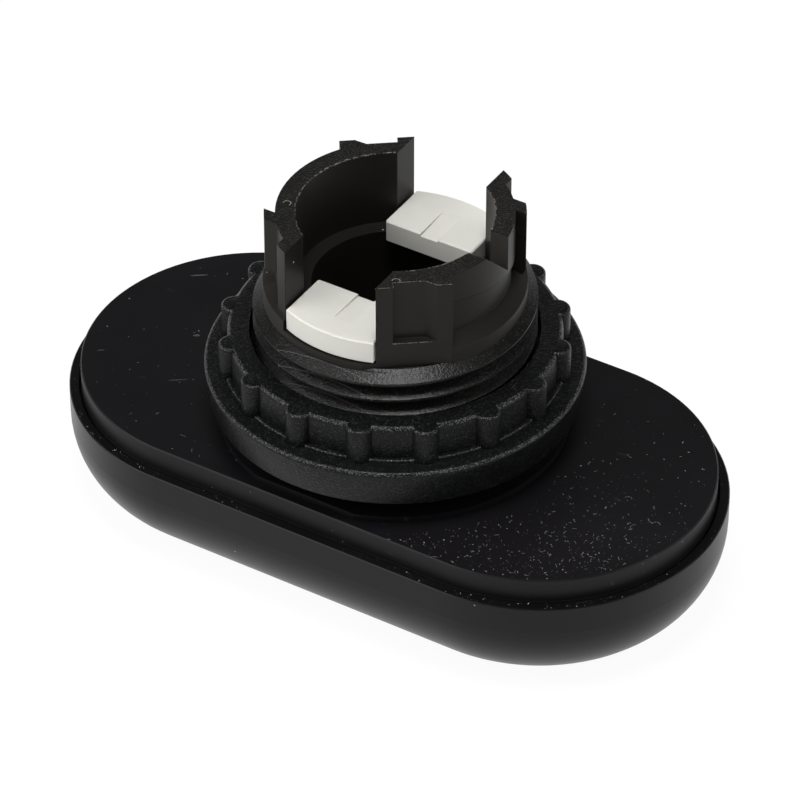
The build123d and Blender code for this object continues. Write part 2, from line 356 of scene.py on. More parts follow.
def new_group(name, inputs, outputs):
    """Empty shader node group with named sockets, and its two ends."""
    group = bpy.data.node_groups.new(name, "ShaderNodeTree")
    for socket, kind, default in inputs:
        made = group.interface.new_socket(socket, in_out="INPUT", socket_type=kind)
        if default is not None:
            made.default_value = default
    for socket in outputs:
        group.interface.new_socket(socket, in_out="OUTPUT", socket_type="NodeSocketFloat")
    return group, group.nodes.new("NodeGroupInput"), group.nodes.new("NodeGroupOutput")


def make_grain_group():
    """Fine unevenness of a moulded surface: a height and a shade, both from 0 to 1."""
    inputs = (("Vector", "NodeSocketVector", None), ("Scale", "NodeSocketFloat", 3000.0))
    group, start, end = new_group("moulded_grain", inputs, ("Height", "Shade"))
    fine = add_node(
        group, "ShaderNodeTexNoise",
        {
            "Vector": start.outputs["Vector"], "Scale": start.outputs["Scale"],
            "Detail": 3.0, "Roughness": 0.6,
        },
    )
    coarse_scale = math_node(group, "MULTIPLY", start.outputs["Scale"], 0.06)
    coarse = add_node(
        group, "ShaderNodeTexNoise",
        {"Vector": start.outputs["Vector"], "Scale": coarse_scale, "Detail": 4.0, "Roughness": 0.55},
    )
    group.links.new(fine.outputs["Fac"], end.inputs["Height"])
    group.links.new(coarse.outputs["Fac"], end.inputs["Shade"])
    return group


def make_eroded_group():
    """Coarse eroded texture: rounded grains of two sizes, as a height from 0 to 1."""
    inputs = (("Vector", "NodeSocketVector", None), ("Scale", "NodeSocketFloat", 4200.0))
    group, start, end = new_group("eroded_texture", inputs, ("Height",))
    grains = add_node(
        group, "ShaderNodeTexVoronoi",
        {"Vector": start.outputs["Vector"], "Scale": start.outputs["Scale"], "Smoothness": 0.6},
        feature="SMOOTH_F1",
    )
    fine_scale = math_node(group, "MULTIPLY", start.outputs["Scale"], 1.7)
    fine = add_node(
        group, "ShaderNodeTexNoise",
        {"Vector": start.outputs["Vector"], "Scale": fine_scale, "Detail": 2.0, "Roughness": 0.6},
    )
    hollow = math_node(group, "SUBTRACT", 1.0, grains.outputs["Distance"])
    height = math_node(group, "MULTIPLY_ADD", fine.outputs["Fac"], 0.8)
    group.links.new(hollow, height.node.inputs[2])
    group.links.new(height, end.inputs["Height"])
    return group


def make_dust_group():
    """Scattered specks of dust, as a mask."""
    inputs = (
        ("Vector", "NodeSocketVector", None),
        ("Scale", "NodeSocketFloat", 700.0),
        ("Size", "NodeSocketFloat", 0.09),
        ("Amount", "NodeSocketFloat", 0.5),
    )
    group, start, end = new_group("dust_specks", inputs, ("Mask",))
    wander = add_node(
        group, "ShaderNodeTexNoise",
        {"Vector": start.outputs["Vector"], "Scale": 2600.0, "Detail": 1.0},
    )
    centred = add_node(
        group, "ShaderNodeVectorMath", {0: wander.outputs["Color"], 1: (0.5, 0.5, 0.5)},
        operation="SUBTRACT",
    )
    bent = add_node(
        group, "ShaderNodeVectorMath",
        {0: centred.outputs[0], 1: (SPECK_BEND, SPECK_BEND, SPECK_BEND), 2: start.outputs["Vector"]},
        operation="MULTIPLY_ADD",
    )
    cells = add_node(
        group, "ShaderNodeTexVoronoi", {"Vector": bent.outputs[0], "Scale": start.outputs["Scale"]},
    )
    chance = add_node(group, "ShaderNodeSeparateColor", {"Color": cells.outputs["Color"]})
    reach = math_node(group, "MULTIPLY", start.outputs["Size"], chance.outputs["Green"])
    near = math_node(group, "LESS_THAN", cells.outputs["Distance"], reach)
    chosen = math_node(group, "LESS_THAN", chance.outputs["Red"], start.outputs["Amount"])
    group.links.new(math_node(group, "MULTIPLY", near, chosen), end.inputs["Mask"])
    return group


def make_streak_group():
    """Faint rubbed streaks along one direction, as a mask."""
    inputs = (("Vector", "NodeSocketVector", None), ("Amount", "NodeSocketFloat", 0.5))
    group, start, end = new_group("rubbed_streaks", inputs, ("Mask",))
    turned = add_node(
        group, "ShaderNodeMapping",
        {
            "Vector": start.outputs["Vector"],
            "Rotation": (0, 0, math.radians(-28)), "Scale": (330, 1500, 700),
        },
    )
    streaks = add_node(
        group, "ShaderNodeTexNoise", {"Vector": turned.outputs[0], "Scale": 1.0, "Detail": 2.5},
    )
    patches = add_node(
        group, "ShaderNodeTexNoise", {"Vector": start.outputs["Vector"], "Scale": 170.0, "Detail": 1.0},
    )
    edge = math_node(group, "SUBTRACT", 0.8, math_node(group, "MULTIPLY", start.outputs["Amount"], 0.2))
    streak = add_node(
        group, "ShaderNodeMapRange", {"Value": streaks.outputs["Fac"], "From Min": edge, "From Max": 0.9},
    )
    patch = add_node(
        group, "ShaderNodeMapRange", {"Value": patches.outputs["Fac"], "From Min": 0.5, "From Max": 0.62},
    )
    mask = math_node(group, "MULTIPLY", streak.outputs["Result"], patch.outputs["Result"])
    group.links.new(mask, end.inputs["Mask"])
    return group


def make_glint_group():
    """Painted glints: grains of an eroded surface painted lighter as if they catch the light, as a mask."""
    inputs = (
        ("Vector", "NodeSocketVector", None),
        ("Scale", "NodeSocketFloat", 14000.0),
        ("Amount", "NodeSocketFloat", 0.25),
    )
    group, start, end = new_group("painted_glint_grains", inputs, ("Mask",))
    cells = add_node(
        group, "ShaderNodeTexVoronoi",
        {"Vector": start.outputs["Vector"], "Scale": start.outputs["Scale"]},
    )
    chance = add_node(group, "ShaderNodeSeparateColor", {"Color": cells.outputs["Color"]})
    least = math_node(group, "SUBTRACT", 1.0, start.outputs["Amount"])
    lit = add_node(
        group, "ShaderNodeMapRange", {"Value": chance.outputs["Red"], "From Min": least, "From Max": 1.0},
    )
    group.links.new(lit.outputs["Result"], end.inputs["Mask"])
    return group


def make_curl_group():
    """A curled bit of lint that lies flat at a place, as a mask."""
    inputs = (
        ("Vector", "NodeSocketVector", None),
        ("Centre", "NodeSocketVector", None),
        ("Radius", "NodeSocketFloat", 0.3 * MM),
    )
    group, start, end = new_group("lint_curl", inputs, ("Mask",))
    offset = add_node(
        group, "ShaderNodeVectorMath", {0: start.outputs["Vector"], 1: start.outputs["Centre"]},
        operation="SUBTRACT",
    )
    level = add_node(
        group, "ShaderNodeVectorMath", {0: offset.outputs[0], 1: (1, 1, 0)}, operation="MULTIPLY",
    )
    reach = add_node(group, "ShaderNodeVectorMath", {0: level.outputs[0]}, operation="LENGTH")
    ring = math_node(group, "COMPARE", reach.outputs["Value"], start.outputs["Radius"])
    ring.node.inputs[2].default_value = LINT_HALF_WIDTH
    across = add_node(group, "ShaderNodeSeparateXYZ", {"Vector": level.outputs[0]}).outputs["Y"]
    open_side = math_node(group, "MULTIPLY", start.outputs["Radius"], -0.4)
    hook = math_node(group, "GREATER_THAN", across, open_side)
    group.links.new(math_node(group, "MULTIPLY", ring, hook), end.inputs["Mask"])
    return group


GROUP_MAKERS = {
    "moulded_grain": make_grain_group,
    "eroded_texture": make_eroded_group,
    "dust_specks": make_dust_group,
    "rubbed_streaks": make_streak_group,
    "painted_glint_grains": make_glint_group,
    "lint_curl": make_curl_group,
}


def add_group(tree, name, inputs):
    """A shared node group placed in a material."""
    group = bpy.data.node_groups.get(name) or GROUP_MAKERS[name]()
    return add_node(tree, "ShaderNodeGroup", inputs, node_tree=group)


def new_material(name):
    """Material with its node tree, its shader and its object coordinates."""
    material = bpy.data.materials.new(name)
    material.use_nodes = True
    tree = material.node_tree
    shader = tree.nodes["Principled BSDF"]
    place = tree.nodes.new("ShaderNodeTexCoord").outputs["Object"]
    return material, tree, shader, place


def uneven(tree, shade, colour, low, high):
    """A colour that wanders between a darker and a lighter shade of itself."""
    return mix_colour(tree, shade, shaded(colour, low), shaded(colour, high))


def link_roughness(tree, shader, shade, low, high):
    """Roughness that wanders between two values."""
    tree.links.new(spread(tree, shade, low, high), shader.inputs["Roughness"])


def link_bump(tree, shader, height, depth, edge=0.0):
    """Bump of a real depth on the shader's normal, with sharp edges rounded by a radius."""
    bump = add_node(tree, "ShaderNodeBump", {"Height": height, "Distance": depth})
    if edge:
        rounded = add_node(tree, "ShaderNodeBevel", {"Radius": edge}, samples=4)
        tree.links.new(rounded.outputs["Normal"], bump.inputs["Normal"])
    tree.links.new(bump.outputs["Normal"], shader.inputs["Normal"])


def moulded_plastic(name, colour, roughness, specular, grain_scale, grain_depth, dust_amount):
    """Plain moulded plastic with fine grain and a little dust."""
    material, tree, shader, place = new_material(name)
    grain = add_group(tree, "moulded_grain", {"Vector": place, "Scale": grain_scale})
    dust = add_group(tree, "dust_specks", {"Vector": place, "Size": 0.055, "Amount": dust_amount})
    shade = grain.outputs["Shade"]
    body = uneven(tree, shade, colour, 0.7, 1.3)
    dusty = mix_colour(tree, dust.outputs["Mask"], body, colours().dust)
    tree.links.new(dusty, shader.inputs["Base Color"])
    link_roughness(tree, shader, shade, roughness - 0.07, roughness + 0.07)
    shader.inputs["Specular IOR Level"].default_value = specular
    link_bump(tree, shader, grain.outputs["Height"], grain_depth)
    return material


def dusty_rubber(name, colour, roughness, specular):
    """Smooth rubber with rubbed streaks and dust that lies thicker towards the +X end."""
    material, tree, shader, place = new_material(name)
    grain = add_group(tree, "moulded_grain", {"Vector": place, "Scale": 2200.0})
    along = add_node(tree, "ShaderNodeSeparateXYZ", {"Vector": place})
    reach = add_node(
        tree, "ShaderNodeMapRange",
        {
            "Value": along.outputs["X"], "From Min": DUST_THIN_END, "From Max": DUST_THICK_END,
            "To Min": 0.08, "To Max": 0.5,
        },
    )
    dust = add_group(
        tree, "dust_specks", {"Vector": place, "Scale": 1100.0, "Size": 0.07, "Amount": reach.outputs[0]},
    )
    streaks = add_group(tree, "rubbed_streaks", {"Vector": place, "Amount": 0.6})
    body = uneven(tree, grain.outputs["Shade"], colour, 0.75, 1.25)
    rubbed = mix_colour(
        tree, math_node(tree, "MULTIPLY", streaks.outputs["Mask"], 0.14), body, colours().dust,
    )
    dusty = mix_colour(
        tree, math_node(tree, "MULTIPLY", dust.outputs["Mask"], 0.5), rubbed, colours().dust,
    )
    tree.links.new(dusty, shader.inputs["Base Color"])
    link_roughness(tree, shader, grain.outputs["Shade"], roughness - 0.06, roughness + 0.06)
    shader.inputs["Specular IOR Level"].default_value = specular
    link_bump(tree, shader, grain.outputs["Height"], 0.004 * MM)
    return material


def eroded_plastic(name, colour, specular, scale, depth, glint_amount, edge_highlight=0.0, seam=0.0):
    """Plastic with a coarse eroded texture and painted glints. It may have painted highlights on its
    rounded edges, and parting lines painted pale as highlights.
    """
    material, tree, shader, place = new_material(name)
    texture = add_group(tree, "eroded_texture", {"Vector": place, "Scale": scale})
    grain = add_group(tree, "moulded_grain", {"Vector": place, "Scale": 2600.0})
    body = uneven(tree, grain.outputs["Shade"], colour, 0.65, 1.35)
    # Painted glints: grains painted lighter as if they catch the light
    glints = add_group(tree, "painted_glint_grains", {"Vector": place, "Amount": glint_amount})
    lit = mix_colour(tree, glints.outputs["Mask"], body, colours().glint)
    # Painted highlight on rounded edges whose normals lean upwards, in place of the light they would catch
    if edge_highlight:
        facing = tree.nodes.new("ShaderNodeNewGeometry").outputs["Normal"]
        level = add_node(tree, "ShaderNodeSeparateXYZ", {"Vector": facing}).outputs["Z"]
        rounded = math_node(tree, "COMPARE", level, HIGHLIGHT_SLOPE)
        rounded.node.inputs[2].default_value = HIGHLIGHT_REACH
        grains = add_group(tree, "painted_glint_grains", {"Vector": place, "Amount": edge_highlight})
        painted_light = math_node(tree, "MULTIPLY", grains.outputs["Mask"], rounded)
        lit = mix_colour(tree, painted_light, lit, shaded(colours().glint, 2.4))
    # Painted highlight: the parting lines are painted pale as if they catch the light
    if seam:
        spot = add_node(tree, "ShaderNodeSeparateXYZ", {"Vector": place})
        aside = math_node(tree, "ABSOLUTE", spot.outputs["Y"])
        line = math_node(tree, "COMPARE", aside, seam)
        line.node.inputs[2].default_value = SEAM_WIDTH / 2
        lit = mix_colour(tree, line, lit, shaded(colours().glint, 1.3))
    dust = add_group(tree, "dust_specks", {"Vector": place, "Scale": 900.0, "Size": 0.06, "Amount": 0.06})
    dusty = mix_colour(tree, dust.outputs["Mask"], lit, colours().dust)
    tree.links.new(dusty, shader.inputs["Base Color"])
    link_roughness(tree, shader, grain.outputs["Height"], 0.25, 0.43)
    shader.inputs["Specular IOR Level"].default_value = specular
    link_bump(tree, shader, texture.outputs["Height"], depth)
    return material


def rough_topped_plastic(name, colour, roughness, specular):
    """Satin plastic whose prong tops and notch face are rough. The notch face is painted lighter as painted
    light, the tops are a darker tone, and a ragged pale line of flash is painted on the tops' inner edges
    as a highlight.
    """
    material, tree, shader, place = new_material(name)
    grain = add_group(tree, "moulded_grain", {"Vector": place, "Scale": 3000.0})
    texture = add_group(tree, "eroded_texture", {"Vector": place, "Scale": 7500.0})
    dust = add_group(tree, "dust_specks", {"Vector": place, "Amount": 0.05})
    spot = add_node(tree, "ShaderNodeSeparateXYZ", {"Vector": place})
    top = math_node(tree, "GREATER_THAN", spot.outputs["Z"], prong_top - ROUGH_FACE_DEPTH)
    raised = math_node(tree, "GREATER_THAN", spot.outputs["Z"], notch_foot)
    beside = math_node(tree, "COMPARE", spot.outputs["Y"], notch_side)
    beside.node.inputs[2].default_value = ROUGH_FACE_DEPTH
    facing = tree.nodes.new("ShaderNodeNewGeometry").outputs["True Normal"]
    towards = add_node(tree, "ShaderNodeSeparateXYZ", {"Vector": facing}).outputs["Y"]
    upright = math_node(tree, "LESS_THAN", towards, -0.9)
    notch = math_node(tree, "MULTIPLY", math_node(tree, "MULTIPLY", beside, raised), upright)
    rough_face = math_node(tree, "MAXIMUM", top, notch)
    body = uneven(tree, grain.outputs["Shade"], colour, 0.75, 1.25)
    # Painted light: the notch's upright face is painted three times lighter; the prong tops are darker
    painted_light = mix_colour(tree, top, mix_colour(tree, notch, body, shaded(colour, 3.0)), shaded(colour, 0.45))
    # Painted glints on the rough faces
    glints = add_group(tree, "painted_glint_grains", {"Vector": place, "Amount": 0.2})
    shine = math_node(tree, "MULTIPLY", glints.outputs["Mask"], rough_face)
    lit = mix_colour(tree, shine, painted_light, colours().glint)
    inwards = add_node(tree, "ShaderNodeVectorMath", {0: place, 1: (1, 1, 0)}, operation="MULTIPLY")
    reach = add_node(tree, "ShaderNodeVectorMath", {0: inwards.outputs[0]}, operation="LENGTH")
    # Painted highlight: a ragged pale line of mould flash along the prongs' inner top edges
    inner = math_node(tree, "LESS_THAN", reach.outputs["Value"], prong_inner_radius + FLASH_WIDTH)
    ragged = add_group(tree, "painted_glint_grains", {"Vector": place, "Scale": 4000.0, "Amount": 0.5})
    flash = math_node(tree, "MULTIPLY", math_node(tree, "MULTIPLY", inner, top), ragged.outputs["Mask"])
    lit = mix_colour(tree, flash, lit, shaded(colour, FLASH_HIGHLIGHT_PALENESS))
    marks = dust.outputs["Mask"]
    for curl in PRONG_LINT:
        lying = add_group(tree, "lint_curl", {"Vector": place, "Centre": curl})
        on_top = math_node(tree, "MULTIPLY", lying.outputs["Mask"], top)
        faint = math_node(tree, "MULTIPLY", on_top, LINT_STRENGTH)
        marks = math_node(tree, "MAXIMUM", marks, faint)
    dusty = mix_colour(tree, marks, lit, colours().dust)
    tree.links.new(dusty, shader.inputs["Base Color"])
    link_roughness(tree, shader, grain.outputs["Shade"], roughness - 0.07, roughness + 0.07)
    shader.inputs["Specular IOR Level"].default_value = specular
    fine = math_node(tree, "MULTIPLY", grain.outputs["Height"], 0.006 * MM)
    coarse = math_node(tree, "MULTIPLY", texture.outputs["Height"], 0.03 * MM)
    height = add_node(tree, "ShaderNodeMix", {0: rough_face, 2: fine, 3: coarse})
    link_bump(tree, shader, height.outputs[0], 1.0, sizes().collar_edge)
    return material


def pale_plastic(name, colour):
    """Off-white moulded plastic, slightly uneven in tone."""
    material, tree, shader, place = new_material(name)
    grain = add_group(tree, "moulded_grain", {"Vector": place, "Scale": 4200.0})
    body = uneven(tree, grain.outputs["Shade"], colour, 0.95, 1.04)
    dust = add_group(tree, "dust_specks", {"Vector": place, "Scale": 500.0, "Size": 0.05, "Amount": 0.12})
    dirt = mix_colour(tree, dust.outputs["Mask"], body, shaded(colour, 0.35))
    tree.links.new(dirt, shader.inputs["Base Color"])
    link_roughness(tree, shader, grain.outputs["Shade"], 0.42, 0.55)
    shader.inputs["Specular IOR Level"].default_value = 0.4
    shader.inputs["Subsurface Weight"].default_value = 0.15
    shader.inputs["Subsurface Scale"].default_value = 0.6 * MM
    shader.inputs["Subsurface Radius"].default_value = (1.0, 0.95, 0.85)
    link_bump(tree, shader, grain.outputs["Height"], 0.003 * MM)
    return material


def drawn_steel(name, colour):
    """Spring wire with fine drawing marks."""
    material, tree, shader, place = new_material(name)
    grain = add_group(tree, "moulded_grain", {"Vector": place, "Scale": 6000.0})
    body = uneven(tree, grain.outputs["Height"], colour, 0.8, 1.1)
    tree.links.new(body, shader.inputs["Base Color"])
    link_roughness(tree, shader, grain.outputs["Height"], 0.22, 0.38)
    shader.inputs["Metallic"].default_value = 1.0
    link_bump(tree, shader, grain.outputs["Height"], 0.002 * MM)
    return material


def lint(name, colour):
    """Pale lint and dust."""
    material, tree, shader, place = new_material(name)
    grain = add_group(tree, "moulded_grain", {"Vector": place, "Scale": 9000.0})
    body = uneven(tree, grain.outputs["Shade"], colour, 0.45, 1.1)
    tree.links.new(body, shader.inputs["Base Color"])
    link_roughness(tree, shader, grain.outputs["Height"], 0.7, 0.95)
    return material


def dress_node(name, material):
    """Gives a CAD node its material."""
    nodes[name].material_slots[0].material = material


def finish_piece(name, shape, material, body):
    """Turns a bmesh into a piece that rides on a body."""
    mesh = bpy.data.meshes.new(name)
    shape.to_mesh(mesh)
    shape.free()
    normals = mesh.attributes.get("custom_normal")
    if normals:
        mesh.attributes.remove(normals)
    mesh.materials.clear()
    mesh.materials.append(material)
    piece = bpy.data.objects.new(name, mesh)
    bpy.context.scene.collection.objects.link(piece)
    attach(piece, body)
    return piece


def smooth_rounds(shape):
    """Smooth shading on rounds, with corners left sharp."""
    for face in shape.faces:
        face.smooth = True
    for edge in shape.edges:
        edge.smooth = edge.calc_face_angle(0.0) < CORNER_ANGLE


def block_place(turn, along, outwards):
    """A level place on one of the prongs' blocks."""
    return Matrix.Rotation(block_turn + turn, 3, "Z") @ Vector((outwards, along, 0))


def broken_edges(name, node, material, body, width, reshape=None):
    """A node's own form with its sharp edges broken, in the node's place."""
    shape = bmesh.new()
    shape.from_mesh(nodes[node].data)
    bmesh.ops.remove_doubles(shape, verts=shape.verts, dist=MERGE_DISTANCE)
    bmesh.ops.dissolve_limit(shape, angle_limit=FLAT_ANGLE, verts=shape.verts, edges=shape.edges)
    if reshape:
        reshape(shape)
    smooth_rounds(shape)
    piece = finish_piece(name, shape, material, body)
    bevel = piece.modifiers.new("broken_edges", "BEVEL")
    bevel.width = width
    bevel.segments = 2
    bevel.limit_method = "ANGLE"
    bevel.angle_limit = CORNER_ANGLE
    bevel.use_clamp_overlap = True
    bevel.harden_normals = True
    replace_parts(piece, node)


class HEAD_OT_bezel(bpy.types.Operator):
    """Dresses the bezel"""

    bl_idname = "push_head.bezel"
    bl_label = "Bezel"

    def execute(self, context):
        plastic = moulded_plastic(
            "bezel_plastic", colours().bezel, roughness=0.33, specular=0.213,
            grain_scale=3400.0, grain_depth=0.004 * MM, dust_amount=0.2,
        )
        dress_node("front_bezel", plastic)
        return {"FINISHED"}


class HEAD_OT_gasket(bpy.types.Operator):
    """Dresses the panel gasket"""

    bl_idname = "push_head.gasket"
    bl_label = "Gasket"

    def execute(self, context):
        rubber = dusty_rubber("gasket_rubber", colours().gasket, roughness=0.4, specular=0.2)
        dress_node("panel_gasket", rubber)
        return {"FINISHED"}


class HEAD_OT_collar(bpy.types.Operator):
    """Splays the pockets in the collar's blocks, breaks its edges and dresses it"""

    bl_idname = "push_head.collar"
    bl_label = "Collar"

    def execute(self, context):
        plastic = rough_topped_plastic("collar_plastic", colours().collar, roughness=0.42, specular=0.16)
        broken_edges(
            "collar", "collar_body", plastic, "housing", sizes().collar_edge,
            self.splay_pockets,
        )
        return {"FINISHED"}

    def splay_pockets(self, shape):
        """Leans one side of each pocket outwards."""
        for turn in (0, math.pi):
            corner = block_place(turn, pocket_far_edge, block_face)
            shift = block_place(turn, pocket_splay, 0)
            for vert in shape.verts:
                if (vert.co.xy - corner.xy).length < CORNER_REACH:
                    vert.co += shift


class HEAD_OT_thread(bpy.types.Operator):
    """Winds the thread on the collar above the nut"""

    bl_idname = "push_head.thread"
    bl_label = "Thread"

    steps_per_turn = 96
    flank_angle = math.radians(30)

    def execute(self, context):
        size = sizes()
        core = thread_radius - size.thread_depth
        sunk = core - size.thread_crest
        half_crest = size.thread_crest / 2
        half_foot = half_crest + (thread_radius - sunk) * math.tan(self.flank_angle)
        shape = bmesh.new()
        outline = (
            (sunk, -half_foot), (thread_radius, -half_crest),
            (thread_radius, half_crest), (sunk, half_foot),
        )
        profile = shape.faces.new([shape.verts.new((x, 0, z)) for x, z in outline])
        turn = Matrix.Rotation(size.thread_start_angle, 3, "Z")
        bmesh.ops.rotate(shape, cent=(0, 0, 0), matrix=turn, verts=shape.verts)
        bmesh.ops.translate(shape, vec=UP * size.thread_start, verts=shape.verts)
        rise = UP * size.thread_pitch / self.steps_per_turn
        bmesh.ops.spin(
            shape, geom=[profile, *profile.edges, *profile.verts], cent=(0, 0, 0), axis=UP, dvec=rise,
            angle=size.thread_turns * 2 * math.pi, steps=round(size.thread_turns * self.steps_per_turn),
        )
        bmesh.ops.recalc_face_normals(shape, faces=shape.faces)
        smooth_rounds(shape)
        plastic = eroded_plastic(
            "thread_plastic", shaded(colours().collar, 0.2), specular=0.28, scale=5500.0,
            depth=0.018 * MM, glint_amount=0.14, seam=size.thread_seam,
        )
        finish_piece("collar_thread", shape, plastic, "housing")
        return {"FINISHED"}


class HEAD_OT_nut(bpy.types.Operator):
    """Turns the nut from a profile with rounded corners, sets its grip ribs and dresses it"""

    bl_idname = "push_head.nut"
    bl_label = "Ring nut"

    steps = 128
    foot_radius = 14.45 * MM
    flange_top = 5.48 * MM
    ledge_radius = 13.42 * MM
    ledge_top = 5.68 * MM
    wall_radius = 13.0 * MM
    wall_top = 8.45 * MM
    mouth_radius = 11.28 * MM
    relief_radius = 11.25 * MM
    relief_floor = 6.75 * MM
    bore_radius = 10.4 * MM
    lead_in = 0.95 * MM
    rib_count = 16
    rib_radius = 1.06 * MM
    rib_sink = 0.24 * MM
    rib_drop = 0.01 * MM
    rib_sides = 28
    first_rib_angle = math.radians(-70.6)

    def execute(self, context):
        shape = bmesh.new()
        self.turn_ring(shape)
        for index in range(self.rib_count):
            self.add_rib(shape, self.first_rib_angle + index * math.tau / self.rib_count)
        smooth_rounds(shape)
        # The nut gets painted glints and painted highlights on its rounded edges
        plastic = eroded_plastic(
            "nut_plastic", colours().nut, specular=0.17, scale=5500.0,
            depth=0.028 * MM, glint_amount=0.12, edge_highlight=0.4,
        )
        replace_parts(finish_piece("nut", shape, plastic, "nut"), "ring_nut")
        return {"FINISHED"}

    def turn_ring(self, shape):
        """Ring with its flange, ledge, wall and bore. Each corner has its own rounding."""
        edge = sizes().nut_edge
        corners = (
            (self.foot_radius, nut_low.z, edge / 2),
            (nut_radius, self.flange_top, edge),
            (self.ledge_radius, self.flange_top, 0.0),
            (self.ledge_radius, self.ledge_top, edge * 0.4),
            (self.wall_radius, self.ledge_top, 0.0),
            (self.wall_radius, self.wall_top, edge),
            (self.mouth_radius, self.wall_top, edge / 4),
            (self.relief_radius, self.relief_floor, 0.0),
            (self.bore_radius, self.relief_floor, edge / 4),
            (self.bore_radius, nut_low.z + self.lead_in, 0.0),
            (self.bore_radius + self.lead_in, nut_low.z, 0.0),
        )
        verts = [shape.verts.new((radius, 0, height)) for radius, height, rounding in corners]
        shape.faces.new(verts)
        for vert, (radius, height, rounding) in zip(verts, corners):
            if rounding:
                bmesh.ops.bevel(
                    shape, geom=[vert], offset=rounding, offset_type="OFFSET", affect="VERTICES",
                    segments=5, profile=0.5, material=-1,
                )
        bmesh.ops.delete(shape, geom=shape.faces[:], context="FACES_ONLY")
        bmesh.ops.spin(
            shape, geom=[*shape.verts, *shape.edges], cent=(0, 0, 0), axis=UP,
            angle=math.tau, steps=self.steps, use_merge=True,
        )
        bmesh.ops.recalc_face_normals(shape, faces=shape.faces)

    def add_rib(self, shape, angle):
        """Half-round grip rib with a rounded top, a hair below the ring's own."""
        before = set(shape.verts)
        circle = bmesh.ops.create_circle(
            shape, cap_ends=True, segments=self.rib_sides, radius=self.rib_radius,
        )["verts"]
        sides = bmesh.ops.extrude_face_region(shape, geom=circle[0].link_faces[:])["geom"]
        top = [part for part in sides if isinstance(part, bmesh.types.BMVert)]
        rim = [part for part in sides if isinstance(part, bmesh.types.BMEdge)]
        foot = self.flange_top - sizes().nut_edge
        height = self.wall_top - self.rib_drop - foot
        bmesh.ops.translate(shape, vec=UP * height, verts=top)
        bmesh.ops.bevel(
            shape, geom=rim, offset=sizes().nut_edge * 0.6, offset_type="OFFSET", affect="EDGES",
            segments=4, profile=0.5, material=-1,
        )
        made = [vert for vert in shape.verts if vert not in before]
        bmesh.ops.translate(shape, vec=(self.wall_radius - self.rib_sink, 0, foot), verts=made)
        bmesh.ops.rotate(shape, cent=(0, 0, 0), matrix=Matrix.Rotation(angle, 3, "Z"), verts=made)
        faces = list({face for vert in made for face in vert.link_faces})
        bmesh.ops.recalc_face_normals(shape, faces=faces)


class HEAD_OT_plungers(bpy.types.Operator):
    """Breaks the plungers' edges and dresses them"""

    bl_idname = "push_head.plungers"
    bl_label = "Plungers"

    def execute(self, context):
        plastic = pale_plastic("plunger_plastic", colours().plunger)
        for place, body in (("near", "right_button"), ("far", "left_button")):
            node = f"{place}_plunger"
            broken_edges(
                f"{place}_plunger_plate", node, plastic, body, sizes().plunger_edge,
            )
        return {"FINISHED"}


class HEAD_OT_buttons(bpy.types.Operator):
    """Dresses the caps, sliders and seals of both buttons"""

    bl_idname = "push_head.buttons"
    bl_label = "Buttons"

    def execute(self, context):
        slider = moulded_plastic(
            "slider_plastic", colours().slider, roughness=0.42, specular=0.45,
            grain_scale=3000.0, grain_depth=0.006 * MM, dust_amount=0.0,
        )
        seal = moulded_plastic(
            "seal_rubber", colours().seal, roughness=0.6, specular=0.35,
            grain_scale=2200.0, grain_depth=0.006 * MM, dust_amount=0.0,
        )
        for side, colour, slot in (("right", colours().green_cap, "green_cap_plastic"),
                                   ("left", colours().red_cap, "red_cap_plastic")):
            cap = moulded_plastic(
                slot, colour, roughness=0.34, specular=0.5,
                grain_scale=3600.0, grain_depth=0.004 * MM, dust_amount=0.02,
            )
            body = f"{side}_button"
            broken_edges(f"{side}_cap", f"{side}_button_cap", cap, body, sizes().button_edge)
            dress_node(f"{side}_slider", slider)
            dress_node(f"{side}_button_seal", seal)
        dress_node("lens_seal", seal)
        return {"FINISHED"}


class HEAD_OT_springs(bpy.types.Operator):
    """Gives the return springs smooth-shaded copies that ride on the housing"""

    bl_idname = "push_head.springs"
    bl_label = "Springs"

    def execute(self, context):
        steel = drawn_steel("spring_steel", colours().steel)
        for joint in frame["record"]["behaviour"]["joints"]:
            for spring in joint.get("deforming_nodes", ()):
                self.add_coil(joint, spring["node"], steel)
        return {"FINISHED"}

    def add_coil(self, joint, node, steel):
        """A spring's own form, smooth-shaded, riding on the housing."""
        shape = bmesh.new()
        shape.from_mesh(nodes[node].data)
        bmesh.ops.remove_doubles(shape, verts=shape.verts, dist=MERGE_DISTANCE)
        for face in shape.faces:
            face.smooth = True
        coil = finish_piece(f"{node}_coil", shape, steel, "housing")
        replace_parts(coil, node)
        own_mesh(coil)


class HEAD_OT_lens(bpy.types.Operator):
    """Breaks the lens's edges and dresses it"""

    bl_idname = "push_head.lens"
    bl_label = "Lens"

    def execute(self, context):
        plastic = pale_plastic("lens_plastic", colours().lens)
        broken_edges("lens", "centre_lens", plastic, "housing", sizes().button_edge)
        return {"FINISHED"}


